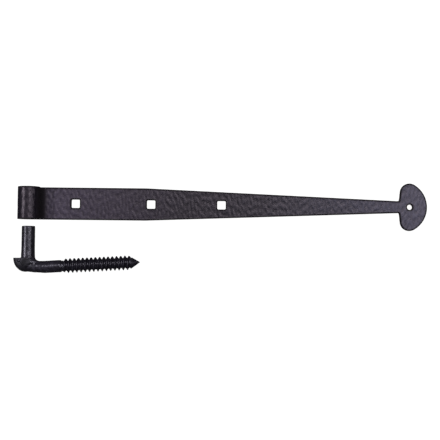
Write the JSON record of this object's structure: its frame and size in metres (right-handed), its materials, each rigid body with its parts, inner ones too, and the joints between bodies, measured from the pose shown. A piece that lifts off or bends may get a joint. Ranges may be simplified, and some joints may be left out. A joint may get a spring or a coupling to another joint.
{
  "type": "pintle strap hinge",
  "caption": "Long tapered strap with a rolled eye and a bean-shaped end, lifted off the upright pin of a lag pintle that screws into a post.",
  "frame": {"origin": "centre of the whole hinge seen from above, on the plane that it lies on", "axes": "+X from the rolled eye to the bean-shaped end, +Y along the pin from the landing to the free end, the way the strap lifts off, +Z out of the strap's front"},
  "size_m": [0.485, 0.11, 0.0261],
  "materials": {
    "strap_coat": "textured black powder coat on hammered flat bar",
    "pintle_coat": "satin black coat on forged round bar"
  },
  "bodies": {
    "lag": {"pintle_lag": "pintle_coat"},
    "pin": {"pintle_pin": "pintle_coat"},
    "strap": {"strap": "strap_coat"}
  },
  "joints": [
    {"name": "swing", "type": "hinge", "parent": "lag", "child": "pin", "pos_m": [-0.2253, -0.03732, 0.01306], "axis": [0, 1, 0], "range_deg": [0, 270]},
    {"name": "drop_on", "type": "slide", "parent": "pin", "child": "strap", "axis": [0, -1, 0], "range_m": [0, 0.04385]}
  ]
}
